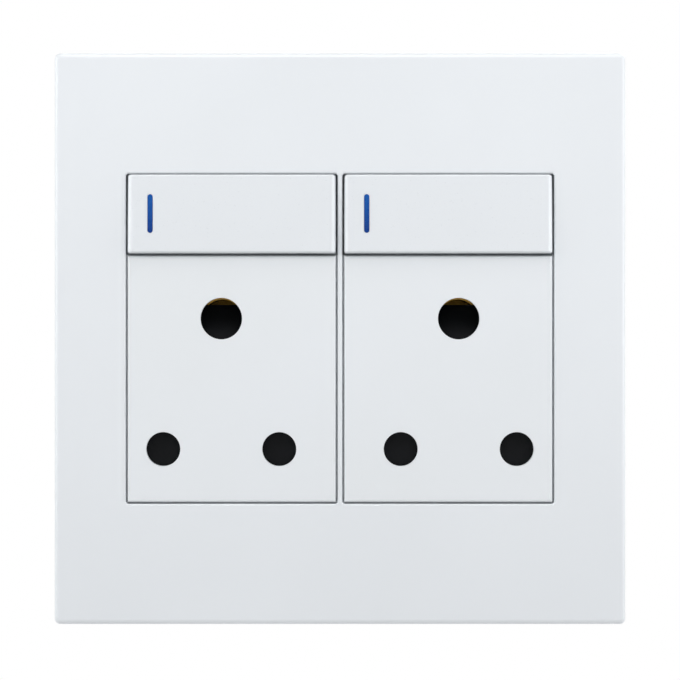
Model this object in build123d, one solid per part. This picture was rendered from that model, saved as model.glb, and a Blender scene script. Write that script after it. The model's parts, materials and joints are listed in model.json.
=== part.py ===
from build123d import *
import os
from math import cos, radians, sin

# Double switched socket with round pin holes, in millimetres.
# X runs to the right seen from the front, Z is up and Y runs into the wall.
# The origin is on the wall plane, midway between the two box fixing holes.

# Cover plate
plate_width = 125.0
plate_height = 125.0
plate_depth = 9.0
plate_skin = 2.2
plate_wall = 2.0
plate_corner = 1.2
plate_edge = 1.0
window_edge = 0.25
window_corner = 0.4
mullion_width = 1.0
post_size = 4.0
post_inset = 11.0

# Snap hooks of the cover plate and their slots in the mounting frame
hook_thick = 1.6
hook_width = 8.0
hook_spread = 30.0
hook_barb = 0.9
hook_ledge = 1.15
hook_gap = 0.15
hook_tip_gap = 0.3

# Mounting frame
frame_inset = 6.5
frame_thick = 2.5
frame_corner = 4.0
frame_lip = 1.6
frame_lip_height = 1.8
fixing_spacing = 83.5
fixing_hole = 4.2

# Module faces
module_width = 45.5
module_height = 71.4
module_gap = 0.45
face_skin = 3.3
face_wall = 1.4
face_edge = 0.25
shoulder_reach = 1.9
shoulder_seat = 3.5
shoulder_gap = 0.2
flange_reach = 0.8
flange_thick = 1.0
flange_rise = 0.25
deck_thick = 1.6

# Pin holes of the socket
pin_pitch = 25.4
earth_rise = 28.58
line_margin = 11.52
pin_shift = 2.3
earth_hole = 9.1
line_hole = 7.46

# Rocker
rocker_height = 17.2
rocker_gap = 0.4
rocker_depth = 3.6
rocker_skin = 1.6
rocker_wall = 1.2
rocker_proud = 1.0
rocker_side_round = 1.2
rocker_edge = 0.3
rocker_tilt = 4.0
pivot_depth = 5.8
pivot_radius = 1.1
pivot_fit = 0.05
pivot_eye = 1.3
lug_half = 2.2
lug_reach = 1.0
lug_thick = 2.8
lug_gap = 0.4

# Indicator insert
indicator_width = 1.1
indicator_height = 8.45
indicator_inset = 4.9
indicator_fit = 0.03
indicator_proud = 0.05

# Plunger and its spring
plunger_radius = 1.6
plunger_fit = 0.1
plunger_reach = 14.0
plunger_length = 10.0
plunger_nose = 1.0
plunger_flat = 0.7
tube_half = 2.5
tube_length = 9.0
tube_clearance = 0.9
plunger_wire = 0.5
plunger_turns = 3

# Switch contact, a see-saw strip on two trunnions
contact_width = 4.4
contact_length = 11.2
contact_thick = 1.2
contact_arm = 4.0
contact_tilt = 6.0
contact_gap = 0.06
tip_gap = 0.15
trunnion_radius = 0.9
trunnion_offset = 0.2
trunnion_fit = 0.05
ear_reach = 0.6
ear_thick = 1.0
ear_gap = 1.0
button_half = 1.2
button_height = 1.0
stud_half = 1.5

# Shutter and its spring
shutter_thick = 2.6
shutter_travel = 8.0
slide_gap = 0.3
bar_reach = 4.0
bar_overlap = 4.4
stem_width = 10.4
ramp_top = 3.05
ramp_height = 8.45
ramp_lip = 0.6
ramp_foot = 2.0
ramp_depth = 6.6
guide_thick = 1.2
guide_length = 12.0
stop_width = 3.0
stop_height = 2.0
stop_gap = 0.1
shutter_spring_radius = 1.5
shutter_spring_length = 14.0
shutter_wire = 0.5
shutter_turns = 4

# Contacts and terminals
earth_bore = 8.5
line_bore = 6.9
tube_wall = 0.9
tube_floor = 1.0
tube_slot = 1.0
tube_slot_share = 0.6
earth_pin_length = 28.6
line_pin_length = 18.6
pin_tip_room = 0.6
mouth_gap = 0.3
strip_thick = 1.0
strip_width = 4.0
strip_step = 2.8
feed_width = 3.0
feed_gap = 0.95
pillar_width = 8.4
pillar_height = 9.0
pillar_front = 11.0
pillar_rear = 20.0
earth_pillar_drop = 18.0
line_terminal_shift = 16.7
wire_hole = 4.2
wire_entry = 5.8
terminal_screw_radius = 1.75
terminal_screw_length = 4.6
terminal_thread_gap = 0.05
terminal_tip_gap = 0.2
screw_slot_width = 0.8
screw_slot_depth = 0.9

# Base
base_rear = 24.0
base_side_gap = 0.4
base_window_gap = 0.3
base_corner = 1.5
base_chamfer = 0.8
pocket_gap = 0.2
well_half = 3.0
catch_width = 8.0
catch_height = 1.2
catch_length = 2.5
catch_gap = 0.1
catch_offset = 12.0

# Snap arms that hold the base in the socket front
arm_thick = 1.4
arm_width = 5.0
arm_reach = 2.6
arm_barb = 0.6
arm_gap = 0.2
arm_low = -9.0
arm_high = 8.0

# Flats that stand in for small round forms: a bearing seat and one turn of a spring
seat_sides = 8
coil_sides = 8

# Levels along Y and places that several pieces share
front = -plate_depth
skin_back = front + plate_skin
parting = -frame_thick
face_back = front + face_skin
shoulder_front = skin_back + shoulder_gap
deck_front = parting - deck_thick
module_pitch = module_width + 2 * module_gap + mullion_width
half_width = module_width / 2
half_height = module_height / 2
base_half_width = half_width - base_side_gap
shoulder_half = half_height + shoulder_reach
frame_width = plate_width - 2 * frame_inset
frame_height = plate_height - 2 * frame_inset
frame_window_z = shoulder_half - shoulder_seat
frame_bar_z = (shoulder_half + frame_height / 2 - frame_lip) / 2
rocker_z = half_height - rocker_height / 2
face_top = half_height - rocker_height - rocker_gap
line_z = line_margin - half_height
earth_z = line_z + earth_rise
pivot_y = -pivot_depth
rocker_front = front - rocker_proud
rocker_inner = rocker_front + rocker_skin
rocker_rear = rocker_front + rocker_depth
tube_end = rocker_inner + tube_length
tip_y = pivot_y + plunger_reach
contact_front = tip_y + tip_gap
trunnion_y = contact_front + contact_thick + trunnion_offset
button_back = button_height - trunnion_offset
closing_swing = (contact_arm + button_half) * sin(radians(contact_tilt))
stud_front = trunnion_y + button_back * cos(radians(contact_tilt)) + closing_swing + contact_gap
strip_front = stud_front + strip_step
strip_back = strip_front + strip_thick
feed_front = trunnion_y + trunnion_radius + feed_gap
feed_back = feed_front + strip_thick
shutter_front = face_back + slide_gap
shutter_back = shutter_front + shutter_thick
ramp_back = shutter_front + ramp_depth
shutter_top = earth_z + ramp_top
ramp_bottom = shutter_top - ramp_height - ramp_foot
bar_top = line_z + bar_reach
bar_bottom = line_z - bar_reach
slide_room = bar_bottom - shutter_travel - slide_gap
earth_mouth = ramp_back + mouth_gap
line_mouth = parting + mouth_gap
earth_bottom = front + earth_pin_length + pin_tip_room
line_bottom = front + line_pin_length + pin_tip_room
earth_pillar_z = earth_z - earth_pillar_drop
wire_y = (pillar_front + pillar_rear) / 2
earth_bar_half = earth_bore / 2 + tube_wall
line_bar_half = line_bore / 2 + tube_wall
base_half_height = frame_window_z - base_window_gap
arm_places = [(hand, z) for hand in (-1, 1) for z in (arm_low, arm_high)]


def about(centre, half):
    return centre - half, centre + half


def block(x_range, y_range, z_range):
    ranges = (sorted(x_range), sorted(y_range), sorted(z_range))
    middle = [(low + high) / 2 for low, high in ranges]
    size = [high - low for low, high in ranges]
    return Pos(*middle) * Box(*size)


def rod_x(y, z, radius, x_range):
    low, high = sorted(x_range)
    return Pos((low + high) / 2, y, z) * Rot(0, 90, 0) * Cylinder(radius, high - low)


def seat_x(y, z, radius, x_range):
    low, high = sorted(x_range)
    flats = RegularPolygon(radius, seat_sides, major_radius=False, rotation=180 / seat_sides)
    return Pos(low, y, z) * extrude(Plane.YZ * flats, amount=high - low)


def rod_y(x, z, radius, y_range):
    low, high = sorted(y_range)
    return Pos(x, (low + high) / 2, z) * Rot(90, 0, 0) * Cylinder(radius, high - low)


def rod_z(x, y, radius, z_range):
    low, high = sorted(z_range)
    return Pos(x, y, (low + high) / 2) * Cylinder(radius, high - low)


def cut_rectangle(width, height, corner):
    outline = Rectangle(width, height)
    return chamfer(outline.vertices(), corner)


def sheet(outline, y_range):
    low, high = sorted(y_range)
    return Pos(0, high, 0) * extrude(Plane.XZ * outline, amount=high - low)


def prism_x(points, x_range):
    low, high = sorted(x_range)
    outline = Plane.YZ * Polygon(*points, align=None)
    return Pos(low, 0, 0) * extrude(outline, amount=high - low, dir=(1, 0, 0))


def prism_z(points, z_range):
    low, high = sorted(z_range)
    outline = Polygon(*points, align=None)
    return Pos(0, 0, low) * extrude(outline, amount=high - low, dir=(0, 0, 1))


def turned(shape, y, z, angle):
    return Pos(0, y, z) * Rot(angle, 0, 0) * Pos(0, -y, -z) * shape


def coil(radius, wire, length, turns):
    rise = (length - wire) / (turns * coil_sides)
    corners = []
    for step in range(turns * coil_sides + 1):
        angle = radians(step * 360 / coil_sides)
        corners.append((radius * cos(angle), radius * sin(angle), wire / 2 + step * rise))
    path = Polyline(*corners)
    section = Plane(origin=path @ 0, x_dir=(1, 0, 0), z_dir=path % 0) * Rectangle(wire, wire)
    return sweep(section, path=path, transition=Transition.RIGHT)


def module_x(side):
    return side * module_pitch / 2


def pins_x(side):
    return module_x(side) + side * pin_shift


def switch_x(side):
    return pins_x(side) + pin_pitch / 2


def neutral_x(side):
    return pins_x(side) - pin_pitch / 2


def terminal_x(side):
    return switch_x(side) - line_terminal_shift


def pin_places(side):
    earth = (pins_x(side), earth_z, earth_hole / 2)
    neutral = (neutral_x(side), line_z, line_hole / 2)
    line = (switch_x(side), line_z, line_hole / 2)
    return earth, neutral, line


# A shallow tray with two windows; its hooks snap into the mounting frame and its posts rest on it
def make_cover_plate():
    plate = sheet(RectangleRounded(plate_width, plate_height, plate_corner), (front, 0))
    plate = fillet(plate.faces().sort_by(Axis.Y)[0].edges(), plate_edge)
    inner_x = plate_width / 2 - plate_wall
    inner_z = plate_height / 2 - plate_wall
    plate -= block((-inner_x, inner_x), (skin_back, 0), (-inner_z, inner_z))
    window = cut_rectangle(module_width + 2 * module_gap, module_height + 2 * module_gap, window_corner)
    for side in (-1, 1):
        plate -= Pos(module_x(side), 0, 0) * sheet(window, (front, skin_back))
    rims = [wire.edges() for wire in plate.faces().sort_by(Axis.Y)[0].inner_wires()]
    plate = chamfer([edge for rim in rims for edge in rim], window_edge)
    for side in (-1, 1):
        for end in (-1, 1):
            plate += make_hook(side, end)
            post_x = about(side * (frame_width / 2 - post_inset), post_size / 2)
            plate += block(post_x, (skin_back, parting), about(end * frame_bar_z, post_size / 2))
    return plate


# A springy finger with a barb that catches under the ledge of its slot
def make_hook(side, end):
    inner, outer = about(frame_bar_z, hook_thick / 2)
    catch = parting + hook_ledge + hook_gap
    tip = -hook_tip_gap
    points = [
        (skin_back, end * inner),
        (skin_back, end * outer),
        (catch, end * outer),
        (catch, end * (outer + hook_barb)),
        (tip, end * outer),
        (tip, end * inner),
    ]
    return prism_x(points, about(side * hook_spread, hook_width / 2))


# A flat plate with a stiffening lip, two windows for the modules and two box fixing holes
def make_mounting_frame():
    outline = cut_rectangle(frame_width, frame_height, frame_corner)
    inside_width = frame_width - 2 * frame_lip
    inside_height = frame_height - 2 * frame_lip
    inside = cut_rectangle(inside_width, inside_height, frame_corner - frame_lip)
    frame = sheet(outline, (parting, 0))
    frame += sheet(outline - inside, (parting - frame_lip_height, parting))
    for side in (-1, 1):
        window_x = about(module_x(side), base_half_width + base_window_gap)
        frame -= block(window_x, (parting, 0), about(0, frame_window_z))
    for end in (-1, 1):
        frame -= rod_y(0, end * fixing_spacing / 2, fixing_hole / 2, (parting, 0))
        for side in (-1, 1):
            inner = end * (frame_bar_z - hook_thick / 2 - hook_barb - hook_gap)
            outer = end * (frame_bar_z + hook_thick / 2 + hook_gap)
            slot_x = about(side * hook_spread, hook_width / 2 + hook_gap)
            frame -= block(slot_x, (parting, 0), (inner, outer))
            frame -= block(slot_x, (parting + hook_ledge, 0), (inner, outer + end * hook_barb))
    return frame


# The visible moulding: face with pin holes, flange behind the cover plate, shutter way and rocker bay
def make_socket_front(side):
    x = module_x(side)
    pin_x = pins_x(side)
    wide = about(x, half_width)
    hollow = about(x, half_width - face_wall)
    face = block(wide, (front, face_back), (-half_height, face_top))
    face = chamfer(face.faces().sort_by(Axis.Y)[0].edges(), face_edge)
    body = face + block(wide, (face_back, parting), (-half_height, face_top))
    body += block(wide, (shoulder_front, parting), (-shoulder_half, -half_height))
    flange_y = (shoulder_front, shoulder_front + flange_thick)
    flange_z = (-shoulder_half, face_top + flange_rise)
    body += block(about(x, half_width + flange_reach), flange_y, flange_z)
    body -= block(hollow, (face_back, parting), (slide_room, face_top - face_wall))
    body += block(wide, (deck_front, parting), (face_top - face_wall, shoulder_half))
    for hole_x, hole_z, radius in pin_places(side):
        body -= rod_y(hole_x, hole_z, radius, (front, face_back))
    for hand, z in arm_places:
        body -= make_arm_recess(x, hand, z)
    for hand in (-1, 1):
        guide_x = pin_x + hand * (stem_width / 2 + slide_gap + guide_thick / 2)
        guide_z = (bar_top + stop_height, bar_top + stop_height + guide_length)
        body += block(about(guide_x, guide_thick / 2), (face_back, shutter_back), guide_z)
        stop_x = pin_x + hand * (pin_pitch / 2)
        stop_z = (bar_top + stop_gap, bar_top + stop_gap + stop_height)
        body += block(about(stop_x, stop_width / 2), (face_back, shutter_back), stop_z)
        body += make_lug(x, hand)
    slot_half = tube_half + tube_clearance
    body -= block(about(switch_x(side), slot_half), (deck_front, parting), about(rocker_z, slot_half))
    return body


# A bearing for one pin of the rocker, open at the front so that the rocker presses in
def make_lug(x, hand):
    outer = half_width - rocker_wall - lug_gap
    span = (x + hand * outer, x + hand * (outer - lug_thick))
    lug_front = pivot_y - lug_reach
    seat = pivot_radius + pivot_fit
    lug = block(span, (lug_front, deck_front), about(rocker_z, lug_half))
    lug -= block(span, (lug_front, pivot_y), about(rocker_z, seat))
    return lug - seat_x(pivot_y, rocker_z, seat, span)


def arm_outer():
    return half_width - face_wall - arm_gap


# A snap arm on the base, with its barb in a recess of the socket front
def make_arm(x, hand, z):
    inner = arm_outer() - arm_thick
    tip = parting - arm_reach
    points = [
        (x + hand * inner, parting),
        (x + hand * arm_outer(), parting),
        (x + hand * arm_outer(), (parting + tip) / 2),
        (x + hand * (arm_outer() + arm_barb), (parting + tip) / 2),
        (x + hand * arm_outer(), tip),
        (x + hand * inner, tip),
    ]
    return prism_z(points, about(z, arm_width / 2))


def make_arm_recess(x, hand, z):
    deep = arm_outer() + arm_barb + arm_gap
    tip = parting - arm_reach
    span = (x + hand * arm_outer(), x + hand * deep)
    return block(span, (tip - arm_gap, (parting + tip) / 2 + arm_gap), about(z, arm_width / 2 + arm_gap))


def indicator_x(side):
    return module_x(side) - half_width + indicator_inset


# A hollow cap on two pins, with a tube behind it for the plunger; at rest its lower end stands out
def make_rocker(side):
    x = module_x(side)
    inner = half_width - rocker_wall
    cap = block(about(x, half_width), (rocker_front, rocker_rear), about(rocker_z, rocker_height / 2))
    front_edges = cap.faces().sort_by(Axis.Y)[0].edges()
    cap = fillet(front_edges.filter_by(Axis.Z), rocker_side_round)
    front_edges = cap.faces().sort_by(Axis.Y)[0].edges()
    cap = chamfer(front_edges.filter_by(Axis.X), rocker_edge)
    hollow_z = about(rocker_z, rocker_height / 2 - rocker_wall)
    cap -= block(about(x, inner), (rocker_inner, rocker_rear), hollow_z)
    for hand in (-1, 1):
        wall = (x + hand * inner, x + hand * half_width)
        cap += block(wall, (rocker_rear, pivot_y + pivot_eye), about(rocker_z, pivot_eye))
        pin_end = inner - lug_gap - lug_thick
        cap += rod_x(pivot_y, rocker_z, pivot_radius, (x + hand * inner, x + hand * pin_end))
    cap += block(about(switch_x(side), tube_half), (rocker_inner, tube_end), about(rocker_z, tube_half))
    bore = plunger_radius + plunger_fit
    cap -= block(about(switch_x(side), bore), (rocker_inner, tube_end), about(rocker_z, bore))
    cap -= make_bar(side, indicator_fit, (rocker_front, rocker_inner))
    return turned(cap, pivot_y, rocker_z, -rocker_tilt)


def make_bar(side, margin, y_range):
    bar = SlotOverall(indicator_height + 2 * margin, indicator_width + 2 * margin, rotation=90)
    return Pos(indicator_x(side), 0, rocker_z) * sheet(bar, y_range)


def make_indicator(side):
    bar = make_bar(side, 0, (rocker_front - indicator_proud, rocker_inner))
    return turned(bar, pivot_y, rocker_z, -rocker_tilt)


def make_plunger(side):
    profile = Polygon(
        (0, tip_y - plunger_length),
        (plunger_radius, tip_y - plunger_length),
        (plunger_radius, tip_y - plunger_nose),
        (plunger_flat, tip_y),
        (0, tip_y),
        align=None,
    )
    rod = Pos(switch_x(side), 0, rocker_z) * revolve(profile, Axis.Y)
    return turned(rod, pivot_y, rocker_z, -rocker_tilt)


def make_plunger_spring(side):
    length = tip_y - plunger_length - rocker_inner
    spring = coil(plunger_radius - plunger_wire / 2, plunger_wire, length, plunger_turns)
    placed = Pos(switch_x(side), rocker_inner, rocker_z) * Rot(-90, 0, 0) * spring
    return turned(placed, pivot_y, rocker_z, -rocker_tilt)


# A bar across both lower holes on a stem, and a ramp that the earth pin pushes down
def make_shutter(side):
    x = pins_x(side)
    level = (shutter_front, shutter_back)
    stem_x = about(x, stem_width / 2)
    slide = block(about(x, pin_pitch / 2 + bar_overlap), level, (bar_bottom, bar_top))
    slide += block(stem_x, level, (bar_top, shutter_top - ramp_height))
    ramp = [
        (shutter_front, shutter_top - ramp_height),
        (ramp_back - ramp_lip, shutter_top),
        (ramp_back, shutter_top),
        (ramp_back, ramp_bottom),
        (shutter_front, ramp_bottom),
    ]
    return slide + prism_x(ramp, stem_x)


def make_shutter_spring(side):
    spring_y = parting + shutter_spring_radius + shutter_wire / 2
    spring = coil(shutter_spring_radius, shutter_wire, shutter_spring_length, shutter_turns)
    return Pos(pins_x(side), spring_y, ramp_bottom - shutter_spring_length) * spring


# A terminal block: the wire goes in along Z, the screw along Y
def make_pillar(x, z):
    return block(about(x, pillar_width / 2), (pillar_front, pillar_rear), about(z, pillar_height / 2))


def drill_pillar(body, x, z):
    body -= rod_z(x, wire_y, wire_hole / 2, about(z, pillar_height / 2))
    return body - rod_y(x, z, terminal_screw_radius + terminal_thread_gap, (wire_y, pillar_rear))


def bore_bar(body, x, z, bore, mouth, bottom):
    body -= rod_y(x, z, bore / 2, (mouth, bottom))
    slot_end = mouth + tube_slot_share * (bottom - mouth)
    outer = bore / 2 + tube_wall
    return body - block(about(x, outer), (mouth, slot_end), about(z, tube_slot / 2))


def make_bar_stock(x, z, half, y_range):
    return block(about(x, half), y_range, about(z, half))


def make_neutral_contact(side):
    x = neutral_x(side)
    body = make_bar_stock(x, line_z, line_bar_half, (line_mouth, line_bottom + tube_floor))
    body += make_pillar(x, line_z)
    body = bore_bar(body, x, line_z, line_bore, line_mouth, line_bottom)
    return drill_pillar(body, x, line_z)


def make_earth_contact(side):
    x = pins_x(side)
    body = make_bar_stock(x, earth_z, earth_bar_half, (earth_mouth, earth_bottom + tube_floor))
    body += make_pillar(x, earth_pillar_z)
    neck_z = (earth_pillar_z, earth_z)
    body += block(about(x, strip_width / 2), (wire_y, pillar_rear), neck_z)
    body = bore_bar(body, x, earth_z, earth_bore, earth_mouth, earth_bottom)
    return drill_pillar(body, x, earth_pillar_z)


# Sleeve, rear strip and stud: the fixed half of the switch
def make_line_contact(side):
    x = switch_x(side)
    stud_z = rocker_z + contact_arm
    body = make_bar_stock(x, line_z, line_bar_half, (line_mouth, line_bottom + tube_floor))
    body += make_bar_stock(x, line_z, strip_width / 2, (line_bottom, strip_back))
    body += block(about(x, strip_width / 2), (strip_front, strip_back), (line_z, stud_z + stud_half))
    body += make_bar_stock(x, stud_z, stud_half, (stud_front, strip_front))
    return bore_bar(body, x, line_z, line_bore, line_mouth, line_bottom)


def ear_inner():
    return contact_width / 2 + ear_gap


# Terminal block and feed strip, with two ears that cradle the see-saw contact
def make_line_terminal(side):
    x = terminal_x(side)
    pivot_x = switch_x(side)
    outer = ear_inner() + ear_thick
    body = make_pillar(x, rocker_z)
    body += block((x, pivot_x + outer), (feed_front, feed_back), about(rocker_z, feed_width / 2))
    for hand in (-1, 1):
        ear_x = (pivot_x + hand * ear_inner(), pivot_x + hand * outer)
        body += block(ear_x, (trunnion_y - ear_reach, feed_back), about(rocker_z, feed_width / 2))
    seat = trunnion_radius + trunnion_fit
    body -= seat_x(trunnion_y, rocker_z, seat, about(pivot_x, outer))
    body -= block(about(pivot_x, outer), (trunnion_y - ear_reach, trunnion_y), about(rocker_z, seat))
    return drill_pillar(body, x, rocker_z)


# The see-saw: a strip on two trunnions with a contact button at its upper end
def make_switch_contact(side):
    x = switch_x(side)
    strip_rear = contact_front + contact_thick
    strip_z = about(rocker_z, contact_length / 2)
    body = block(about(x, contact_width / 2), (contact_front, strip_rear), strip_z)
    body += rod_x(trunnion_y, rocker_z, trunnion_radius, about(x, ear_inner() + ear_thick))
    body += make_bar_stock(x, rocker_z + contact_arm, button_half, (strip_rear, strip_rear + button_height))
    return turned(body, trunnion_y, rocker_z, contact_tilt)


def terminal_places(side):
    return [(neutral_x(side), line_z), (pins_x(side), earth_pillar_z), (terminal_x(side), rocker_z)]


def make_terminal_screws(side):
    tip = wire_y + wire_hole / 2 + terminal_tip_gap
    end = tip + terminal_screw_length
    screws = []
    for x, z in terminal_places(side):
        screw = rod_y(x, z, terminal_screw_radius, (tip, end))
        slot_x = about(x, screw_slot_width / 2)
        screw -= block(slot_x, (end - screw_slot_depth, end), about(z, terminal_screw_radius))
        screws.append(screw)
    return Compound(children=screws)


# The rear moulding, with a pocket for every contact and open ways for wires and screwdriver
def make_base(side):
    x = module_x(side)
    body = block(about(x, base_half_width), (parting, base_rear), about(0, base_half_height))
    body = chamfer(body.edges().filter_by(Axis.Y), base_corner)
    body = chamfer(body.faces().sort_by(Axis.Y)[-1].edges(), base_chamfer)
    body -= contact_pockets(side)
    body -= switch_pockets(side)
    body -= terminal_ways(side)
    for hand, z in arm_places:
        body += make_arm(x, hand, z)
    for end in (-1, 1):
        for hand in (-1, 1):
            body += make_catch(x + hand * catch_offset, end)
    return body


def contact_pockets(side):
    pin_x = pins_x(side)
    cell = max(line_bar_half, pillar_width / 2, pillar_height / 2) + pocket_gap
    earth_cell = earth_bar_half + pocket_gap
    pillar_cell = pillar_width / 2 + pocket_gap
    slide_cell = stem_width / 2 + slide_gap
    spring_cell = shutter_spring_radius + shutter_wire / 2 + pocket_gap
    spring_foot = ramp_bottom - shutter_spring_length
    pillar_low = earth_pillar_z - pillar_height / 2 - pocket_gap
    cuts = block(about(neutral_x(side), cell), (parting, pillar_rear), about(line_z, cell))
    earth_y = (parting, earth_bottom + tube_floor)
    cuts += block(about(pin_x, earth_cell), earth_y, about(earth_z, earth_cell))
    cuts += block(about(pin_x, pillar_cell), (parting, pillar_rear), (pillar_low, earth_z))
    slide_low = ramp_bottom - shutter_travel - slide_gap
    cuts += block(about(pin_x, slide_cell), (parting, earth_mouth), (slide_low, earth_z))
    cuts += block(about(pin_x, spring_cell), (parting, earth_mouth), (spring_foot, earth_z))
    cuts += block(about(switch_x(side), cell), (parting, line_bottom + tube_floor), about(line_z, cell))
    return cuts


def switch_pockets(side):
    x = switch_x(side)
    bay = ear_inner() + ear_thick + pocket_gap
    bay_top = rocker_z + contact_length / 2 + pocket_gap
    bay_bottom = rocker_z - contact_length / 2 - pocket_gap
    channel = strip_width / 2 + pocket_gap
    pillar_x = pillar_width / 2 + pocket_gap
    pillar_z = pillar_height / 2 + pocket_gap
    feed_z = feed_width / 2 + pocket_gap
    cuts = block(about(x, bay), (parting, strip_back), (bay_bottom, bay_top))
    cuts += block(about(x, channel), (parting, strip_back), (line_z - channel, bay_top))
    cuts += block(about(terminal_x(side), pillar_x), (parting, pillar_rear), about(rocker_z, pillar_z))
    cuts += block((terminal_x(side), x), (parting, feed_back), about(rocker_z, feed_z))
    return cuts


def terminal_ways(side):
    cuts = []
    for x, z in terminal_places(side):
        edge = base_half_height if z > 0 else -base_half_height
        cuts.append(block(about(x, well_half), (pillar_rear, base_rear), about(z, well_half)))
        cuts.append(block(about(x, wire_entry / 2), (wire_y - wire_entry / 2, base_rear), (z, edge)))
    return cuts


# A wedge that snaps behind the mounting frame
def make_catch(x, end):
    edge = end * base_half_height
    tip = end * (base_half_height + base_window_gap + catch_height)
    points = [(catch_gap, edge), (catch_gap, tip), (catch_gap + catch_length, edge)]
    return prism_x(points, about(x, catch_width / 2))


module_parts = {
    "socket_front": make_socket_front,
    "rocker": make_rocker,
    "indicator": make_indicator,
    "plunger": make_plunger,
    "plunger_spring": make_plunger_spring,
    "shutter": make_shutter,
    "shutter_spring": make_shutter_spring,
    "neutral_contact": make_neutral_contact,
    "earth_contact": make_earth_contact,
    "line_contact": make_line_contact,
    "line_terminal": make_line_terminal,
    "switch_contact": make_switch_contact,
    "terminal_screws": make_terminal_screws,
    "base": make_base,
}

os.makedirs("parts", exist_ok=True)
export_step(make_cover_plate(), "parts/cover_plate.step")
export_step(make_mounting_frame(), "parts/mounting_frame.step")
for side, hand in ((-1, "left"), (1, "right")):
    for name, make in module_parts.items():
        export_step(make(side), f"parts/{name}_{hand}.step")
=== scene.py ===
import bpy
import bmesh
import json
from math import radians
from mathutils import Matrix, Vector

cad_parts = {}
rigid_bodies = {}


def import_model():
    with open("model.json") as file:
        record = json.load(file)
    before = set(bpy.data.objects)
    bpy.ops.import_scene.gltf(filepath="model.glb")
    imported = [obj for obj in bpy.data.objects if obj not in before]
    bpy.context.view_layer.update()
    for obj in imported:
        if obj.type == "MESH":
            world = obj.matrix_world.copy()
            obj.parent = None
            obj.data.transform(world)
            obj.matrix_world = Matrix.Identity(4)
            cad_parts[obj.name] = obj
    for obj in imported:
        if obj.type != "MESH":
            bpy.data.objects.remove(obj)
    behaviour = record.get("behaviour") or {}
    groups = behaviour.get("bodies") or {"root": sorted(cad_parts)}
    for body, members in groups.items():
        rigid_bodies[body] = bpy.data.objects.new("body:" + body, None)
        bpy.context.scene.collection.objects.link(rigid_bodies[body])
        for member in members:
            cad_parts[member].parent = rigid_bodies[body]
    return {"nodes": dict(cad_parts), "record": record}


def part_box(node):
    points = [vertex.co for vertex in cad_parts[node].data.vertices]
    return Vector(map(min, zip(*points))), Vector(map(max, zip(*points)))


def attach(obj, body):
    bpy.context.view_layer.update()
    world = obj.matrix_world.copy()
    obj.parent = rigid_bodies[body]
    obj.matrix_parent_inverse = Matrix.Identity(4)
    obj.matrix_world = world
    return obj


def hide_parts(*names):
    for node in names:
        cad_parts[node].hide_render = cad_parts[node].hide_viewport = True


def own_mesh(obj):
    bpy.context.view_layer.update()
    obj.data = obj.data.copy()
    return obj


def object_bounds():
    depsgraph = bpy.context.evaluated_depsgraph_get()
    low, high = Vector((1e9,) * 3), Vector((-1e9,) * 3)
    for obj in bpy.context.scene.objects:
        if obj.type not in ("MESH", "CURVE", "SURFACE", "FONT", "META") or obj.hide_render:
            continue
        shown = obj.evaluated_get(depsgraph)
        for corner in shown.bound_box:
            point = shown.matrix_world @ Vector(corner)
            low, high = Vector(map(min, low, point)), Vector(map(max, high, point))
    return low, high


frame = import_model()
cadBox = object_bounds()
mm = 0.001
print("frame loaded:", len(frame["nodes"]), "pieces")


# sRGB hex to the linear colour that shaders work in
def hexColour(text):
    channels = [int(text[i:i + 2], 16) / 255 for i in (1, 3, 5)]
    linear = [c / 12.92 if c <= 0.04045 else ((c + 0.055) / 1.055) ** 2.4 for c in channels]
    return (*linear, 1.0)


# one node with its settings, socket values and links
def addNode(tree, kind, inputs=None, **settings):
    node = tree.nodes.new(kind)
    for name, value in settings.items():
        setattr(node, name, value)
    for name, value in (inputs or {}).items():
        if isinstance(value, bpy.types.NodeSocket):
            tree.links.new(value, node.inputs[name])
        else:
            node.inputs[name].default_value = value
    return node


# a material whose surface shader is already wired to its output
def newMaterial(name, inputs):
    material = bpy.data.materials.new(name)
    material.use_nodes = True
    tree = material.node_tree
    tree.nodes.clear()
    shader = addNode(tree, "ShaderNodeBsdfPrincipled", inputs)
    addNode(tree, "ShaderNodeOutputMaterial", {"Surface": shader.outputs["BSDF"]})
    return material, tree, shader


# Shared by all finishes: where most of a pattern's values lie, its detail, samples on an edge
patternLook = dict(span=(0.3, 0.7), detail=3.0, edgeSamples=6)


# colour between the look's shade and its colour, roughness that follows the pattern,
# and the pattern's relief on softened edges
def dressSurface(tree, shader, tone, pattern, look):
    colour = addNode(tree, "ShaderNodeValToRGB", {"Fac": tone})
    tints = (look["shade"], look["colour"])
    for stop, place, tint in zip(colour.color_ramp.elements, look["toneRange"], tints):
        stop.position = place
        stop.color = hexColour(tint)
    low, high = patternLook["span"]
    rough = addNode(tree, "ShaderNodeMapRange", {
        "Value": pattern, "From Min": low, "From Max": high,
        "To Min": look["roughness"] - look["roughSpread"],
        "To Max": look["roughness"] + look["roughSpread"]})
    edge = addNode(tree, "ShaderNodeBevel", {"Radius": look["edgeMm"] * mm},
                   samples=patternLook["edgeSamples"])
    relief = addNode(tree, "ShaderNodeBump", {
        "Height": pattern, "Normal": edge.outputs["Normal"],
        "Strength": look["reliefStrength"], "Distance": look["reliefMm"] * mm})
    tree.links.new(colour.outputs["Color"], shader.inputs["Base Color"])
    tree.links.new(rough.outputs["Result"], shader.inputs["Roughness"])
    tree.links.new(relief.outputs["Normal"], shader.inputs["Normal"])


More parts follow.
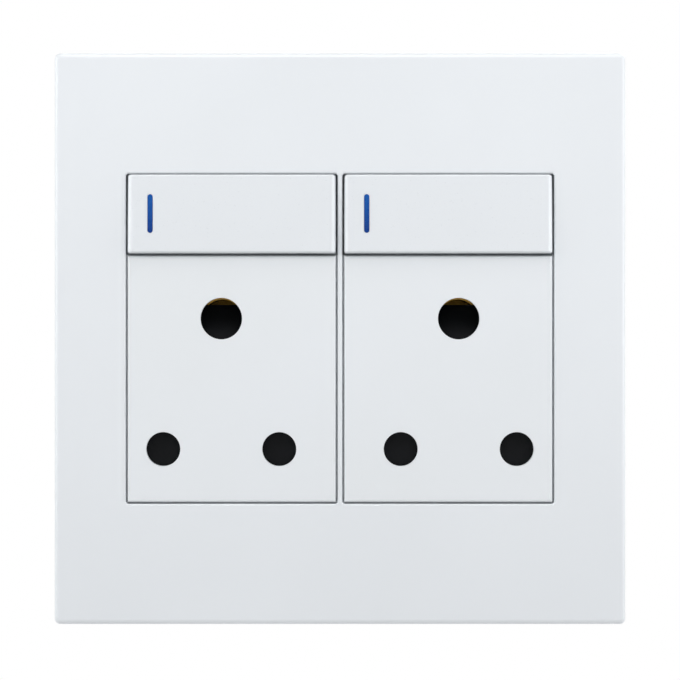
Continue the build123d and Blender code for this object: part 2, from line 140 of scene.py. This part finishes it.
# Moulded plastics: a tone that drifts over the piece, or painted light that makes the piece
# lighter towards its top and painted shade towards its foot, and a fine spark-eroded grain.
# The real grain is about 0.05 mm; it is drawn coarser so that it shows at all.
def mouldedPlastic(name, look):
    material, tree, shader = newMaterial(name, {
        "IOR": look["ior"], "Specular IOR Level": look["specular"]})
    coordinates = addNode(tree, "ShaderNodeTexCoord")
    place = coordinates.outputs["Object"]
    grain = addNode(tree, "ShaderNodeTexNoise", {
        "Vector": place, "Scale": 1 / (look["grainMm"] * mm), "Detail": patternLook["detail"]})
    if look["paintsTopLight"]:
        # painted light from above: the tone follows the height, so the piece is painted lighter
        # at its top and painted darker at its foot
        height = addNode(tree, "ShaderNodeSeparateXYZ", {
            "Vector": coordinates.outputs["Generated"]})
        tone = height.outputs["Z"]
    else:
        drift = addNode(tree, "ShaderNodeTexNoise", {
            "Vector": place, "Scale": 1 / (look["driftMm"] * mm)})
        tone = drift.outputs["Fac"]
    dressSurface(tree, shader, tone, grain.outputs["Fac"], look)
    return material


# Metals: streaks along one axis from drawing, turning or stamping
def workedMetal(name, look):
    material, tree, shader = newMaterial(name, {"Metallic": 1.0})
    place = addNode(tree, "ShaderNodeTexCoord").outputs["Object"]
    fine = 1 / (look["streakMm"] * mm)
    drawn = addNode(tree, "ShaderNodeMapping", {
        "Vector": place, "Scale": [fine * share for share in look["streakAcross"]]})
    streak = addNode(tree, "ShaderNodeTexNoise", {
        "Vector": drawn.outputs["Vector"], "Scale": 1.0, "Detail": patternLook["detail"]})
    dressSurface(tree, shader, streak.outputs["Fac"], streak.outputs["Fac"], look)
    return material


# Polycarbonate, moulded in a blasted tool: cool white, satin, soft broad highlights
plateLook = dict(colour="#EBEFF3", shade="#E9EDF1", toneRange=(0.35, 0.65), paintsTopLight=False,
                 driftMm=45, grainMm=0.4, reliefStrength=0.03, reliefMm=0.02,
                 roughness=0.34, roughSpread=0.03, edgeMm=0.4, ior=1.585, specular=0.5)
faceLook = dict(plateLook, shade="#E9EDF0", edgeMm=0.2)
rockerLook = dict(plateLook, colour="#E6EAEE", shade="#E4E8EC", edgeMm=0.25, roughness=0.3)
# Moulded urea behind the plate: matt, a touch warmer than the front
baseLook = dict(plateLook, colour="#E3E3DF", shade="#DCDCD8", roughness=0.52, roughSpread=0.06,
                reliefStrength=0.15, edgeMm=0.3, ior=1.53)
# Moulded nylon frame: matt, greyer than the base
frameLook = dict(baseLook, colour="#D3D5D8", shade="#CBCED1")
# Moulded natural nylon: milky, slightly yellow
plungerLook = dict(baseLook, colour="#E6E2D4", shade="#DDD8C8", roughness=0.45, driftMm=3)
# Moulded glass-filled nylon: soot black, with a dull skin that gives little back
shutterLook = dict(baseLook, colour="#0A0C10", shade="#07090C", roughness=0.6, driftMm=6,
                   edgeMm=0.2, specular=0.15)
# Moulded ABS insert, pressed in: deep blue, with painted light that makes it lighter towards its
# top and painted shade that darkens its foot
indicatorLook = dict(baseLook, colour="#0E54A4", shade="#043A86", toneRange=(0.1, 0.9),
                     paintsTopLight=True, roughness=0.3, reliefStrength=0.03, edgeMm=0.1, ior=1.54,
                     specular=0.2)
# Drawn brass bar, bored and sawn: warm yellow, dulled, with streaks along the bar
brassLook = dict(colour="#C79F4C", shade="#A07C34", toneRange=(0.3, 0.7), roughness=0.38,
                 roughSpread=0.08, streakMm=0.4, streakAcross=(1, 0.1, 1),
                 reliefStrength=0.15, reliefMm=0.02, edgeMm=0.2)
# Stamped copper strip: reddish, a little brighter than the brass
copperLook = dict(brassLook, colour="#C98258", shade="#B06C45", roughness=0.3,
                  streakAcross=(1, 1, 0.1), edgeMm=0.15)
# Zinc-plated steel, turned: bluish bright grey
zincLook = dict(brassLook, colour="#CFD3D6", shade="#B4B9BE", roughness=0.32, streakMm=0.2,
                streakAcross=(1, 0.3, 1), edgeMm=0.15)
# Drawn spring steel: plain grey wire with streaks along it
wireLook = dict(brassLook, colour="#A9ABAD", shade="#8E9093", roughness=0.35, streakMm=0.2,
                streakAcross=(1, 1, 0.3), edgeMm=0.08)

finishes = {
    "white_plate_plastic": mouldedPlastic("moulded polycarbonate plate", plateLook),
    "white_face_plastic": mouldedPlastic("moulded polycarbonate face", faceLook),
    "white_rocker_plastic": mouldedPlastic("moulded polycarbonate rocker", rockerLook),
    "base_plastic": mouldedPlastic("moulded urea base", baseLook),
    "frame_plastic": mouldedPlastic("moulded nylon frame", frameLook),
    "plunger_nylon": mouldedPlastic("moulded natural nylon", plungerLook),
    "black_nylon": mouldedPlastic("moulded black nylon", shutterLook),
    "blue_plastic": mouldedPlastic("moulded blue ABS", indicatorLook),
    "contact_brass": workedMetal("drawn brass", brassLook),
    "contact_copper": workedMetal("stamped copper", copperLook),
    "zinc_steel": workedMetal("turned zinc plated steel", zincLook),
    "spring_steel": workedMetal("drawn spring steel", wireLook),
}
slotOf = {part["node"]: part["material_slot"] for part in frame["record"]["subparts"]}
for node, piece in frame["nodes"].items():
    piece.data.materials.clear()
    piece.data.materials.append(finishes[slotOf[node]])
print("finishes set:", len(finishes))


# A shutter spring shortens as its shutter goes down, so a coil of the same shape
# stands for the rigid one
def addCoil(joint, node):
    coil = bpy.data.objects.new(f"{node}_coil", frame["nodes"][node].data.copy())
    bpy.context.scene.collection.objects.link(coil)
    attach(coil, joint["parent"])
    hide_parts(node)
    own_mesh(coil)


joints = frame["record"]["behaviour"]["joints"]
slides = [joint for joint in joints if joint["type"] == "slide"]
for joint in slides:
    for row in joint["deforming_nodes"]:
        addCoil(joint, row["node"])
print("springs that shorten:", len(slides))


# Raised terminal marks on the rear of the bases: L, N and the earth sign, each beside its screw.
# The letter height is a share of the font size; each earth bar is its width and height.
markLook = dict(capMm=3.4, capShare=0.69, reliefMm=0.2, besideMm=6.0, screwInsetMm=3.5,
                strokeMm=0.45, earthBarsMm=((3.4, 0.2), (2.2, -0.7), (1.0, -1.6)),
                earthStemMm=1.7)


def letterMesh(letter):
    curve = bpy.data.curves.new(letter, "FONT")
    curve.body = letter
    curve.size = markLook["capMm"] / markLook["capShare"] * mm
    curve.extrude = markLook["reliefMm"] * mm
    curve.align_x = "CENTER"
    curve.align_y = "CENTER"
    carrier = bpy.data.objects.new(letter, curve)
    mesh = bpy.data.meshes.new_from_object(carrier)
    bpy.data.objects.remove(carrier)
    return mesh


def earthMesh():
    shape = bmesh.new()
    stroke, stem = markLook["strokeMm"], markLook["earthStemMm"]
    bars = [(width, stroke, height) for width, height in markLook["earthBarsMm"]]
    topBar = bars[0][2]
    bars.append((stroke, stem, topBar + stem / 2))
    for width, tall, height in bars:
        size = Matrix.Diagonal((width * mm, tall * mm, 2 * markLook["reliefMm"] * mm, 1.0))
        place = Matrix.Translation((0, height * mm, 0))
        bmesh.ops.create_cube(shape, size=1.0, matrix=place @ size)
    mesh = bpy.data.meshes.new("earth sign")
    shape.to_mesh(mesh)
    shape.free()
    return mesh


def addMark(mount):
    kind, side = mount["name"].split("_wire_hole_")
    mesh = earthMesh() if kind == "earth" else letterMesh(kind[0].upper())
    mark = bpy.data.objects.new(f"{kind}_mark_{side}", mesh)
    x, _, z = mount["pos_m"]
    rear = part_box(f"base_{side}")[1][1]
    inset = mount["axis"][2] * markLook["screwInsetMm"] * mm
    mark.location = (x + markLook["besideMm"] * mm, rear, z - inset)
    mark.rotation_euler = (radians(90), 0, radians(180))  # upright, read from the rear
    mesh.materials.append(finishes["base_plastic"])
    bpy.context.scene.collection.objects.link(mark)
    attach(mark, "housing")


wireHoles = [mount for mount in frame["record"]["mounts"] if "_wire_hole_" in mount["name"]]
for mount in wireHoles:
    addMark(mount)
print("terminal marks added:", len(wireHoles))


# Stage: a pale floor well below the plate, and a world that is white wherever it is seen
stageLook = dict(floorDrop=0.25, floorSize=4.0, floorColour="#F4F4F4", floorRoughness=0.9,
                 floorGlow=(0.6, 1.0), glowReach=(0.2, 0.8), white="#FFFFFF", ambient=0.44)
# Soft boxes: place, size and the height they point at in metres, power in watts,
# spread in degrees. The front one has a grid, so that the plate darkens towards its foot;
# the top one shades what lies under the rockers.
lampLook = {
    "front lamp": dict(place=(0.0, -0.45, 0.38), aimHeight=0.03, power=0.04, size=(0.5, 0.15),
                       spread=30),
    "top lamp": dict(place=(0.0, -0.2, 0.36), aimHeight=0.0, power=0.46, size=(0.25, 0.25),
                     spread=180),
    "left lamp": dict(place=(-0.45, -0.16, 0.1), aimHeight=0.0, power=0.88, size=(0.3, 0.3),
                      spread=180),
    "right lamp": dict(place=(0.45, -0.16, 0.1), aimHeight=0.0, power=0.9, size=(0.3, 0.3),
                       spread=180),
    "rear lamp": dict(place=(0.3, 0.7, 0.35), aimHeight=0.0, power=2.3, size=(0.4, 0.4),
                      spread=180),
}


# rays that see the stage rather than light the part
def seenRays(tree):
    path = addNode(tree, "ShaderNodeLightPath")
    seen = path.outputs["Is Camera Ray"]
    for ray in ("Is Glossy Ray", "Is Transmission Ray"):
        either = addNode(tree, "ShaderNodeMath", {0: seen, 1: path.outputs[ray]},
                         operation="MAXIMUM")
        seen = either.outputs[0]
    return seen


# white paper that still takes a soft shadow under the part, runs out to plain white
# and is clear from below
def floorPaper():
    material, tree, paper = newMaterial("paper floor", {
        "Base Color": hexColour(stageLook["floorColour"]),
        "Roughness": stageLook["floorRoughness"]})
    place = addNode(tree, "ShaderNodeTexCoord").outputs["Object"]
    away = addNode(tree, "ShaderNodeVectorMath", {0: place}, operation="LENGTH")
    near, far = stageLook["glowReach"]
    low, high = stageLook["floorGlow"]
    reach = addNode(tree, "ShaderNodeMapRange", {
        "Value": away.outputs["Value"], "From Min": near, "From Max": far,
        "To Min": low, "To Max": high})
    share = addNode(tree, "ShaderNodeMath", {0: reach.outputs["Result"], 1: seenRays(tree)},
                    operation="MULTIPLY")
    glow = addNode(tree, "ShaderNodeEmission", {
        "Color": hexColour(stageLook["white"]), "Strength": 1.0})
    mixed = addNode(tree, "ShaderNodeMixShader", {
        0: share.outputs[0], 1: paper.outputs["BSDF"], 2: glow.outputs["Emission"]})
    below = addNode(tree, "ShaderNodeNewGeometry").outputs["Backfacing"]
    clear = addNode(tree, "ShaderNodeBsdfTransparent")
    sided = addNode(tree, "ShaderNodeMixShader", {
        0: below, 1: mixed.outputs["Shader"], 2: clear.outputs["BSDF"]})
    tree.links.new(sided.outputs["Shader"], tree.nodes["Material Output"].inputs["Surface"])
    return material


def makeFloor():
    level = cadBox[0][2] - stageLook["floorDrop"]
    bpy.ops.mesh.primitive_plane_add(size=stageLook["floorSize"], location=(0, 0, level))
    floor = bpy.context.object
    floor.name = "floor"
    floor.data.materials.append(floorPaper())


def makeWorld():
    world = bpy.data.worlds.new("studio white")
    world.use_nodes = True
    tree = world.node_tree
    tree.nodes.clear()
    strength = addNode(tree, "ShaderNodeMapRange", {
        "Value": seenRays(tree), "To Min": stageLook["ambient"], "To Max": 1.0})
    sky = addNode(tree, "ShaderNodeBackground", {
        "Strength": strength.outputs["Result"], "Color": hexColour(stageLook["white"])})
    addNode(tree, "ShaderNodeOutputWorld", {"Surface": sky.outputs["Background"]})
    bpy.context.scene.world = world


def makeLamp(name, place, aimHeight, power, size, spread):
    lamp = bpy.data.lights.new(name, "AREA")
    lamp.energy = power
    lamp.shape = "RECTANGLE"
    lamp.size, lamp.size_y = size
    lamp.spread = radians(spread)
    holder = bpy.data.objects.new(name, lamp)
    holder.location = place
    aim = Vector((0, 0, aimHeight)) - Vector(place)
    holder.rotation_euler = aim.to_track_quat("-Z", "Y").to_euler()
    holder.visible_camera = False
    bpy.context.scene.collection.objects.link(holder)


makeFloor()
makeWorld()
for lampName, look in lampLook.items():
    makeLamp(lampName, **look)
print("stage lit")


# Camera: straight on with a long lens; the plate takes up 571 of the picture's 680 pixels
cameraLook = dict(distance=1.3, platePixels=571.0, picturePixels=680.0, riseMm=-0.28,
                  sensorMm=36.0)


def makeCamera():
    plateLow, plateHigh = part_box("cover_plate")
    plateWidth = plateHigh[0] - plateLow[0]
    viewWidth = plateWidth * cameraLook["picturePixels"] / cameraLook["platePixels"]
    camera = bpy.data.cameras.new("camera")
    camera.sensor_width = cameraLook["sensorMm"]
    camera.lens = cameraLook["sensorMm"] * cameraLook["distance"] / viewWidth
    holder = bpy.data.objects.new("camera", camera)
    holder.location = (0, plateLow[1] - cameraLook["distance"], cameraLook["riseMm"] * mm)
    holder.rotation_euler = (radians(90), 0, 0)
    bpy.context.scene.collection.objects.link(holder)
    bpy.context.scene.camera = holder


makeCamera()
bpy.context.scene.view_settings.view_transform = "Standard"
print("camera set")
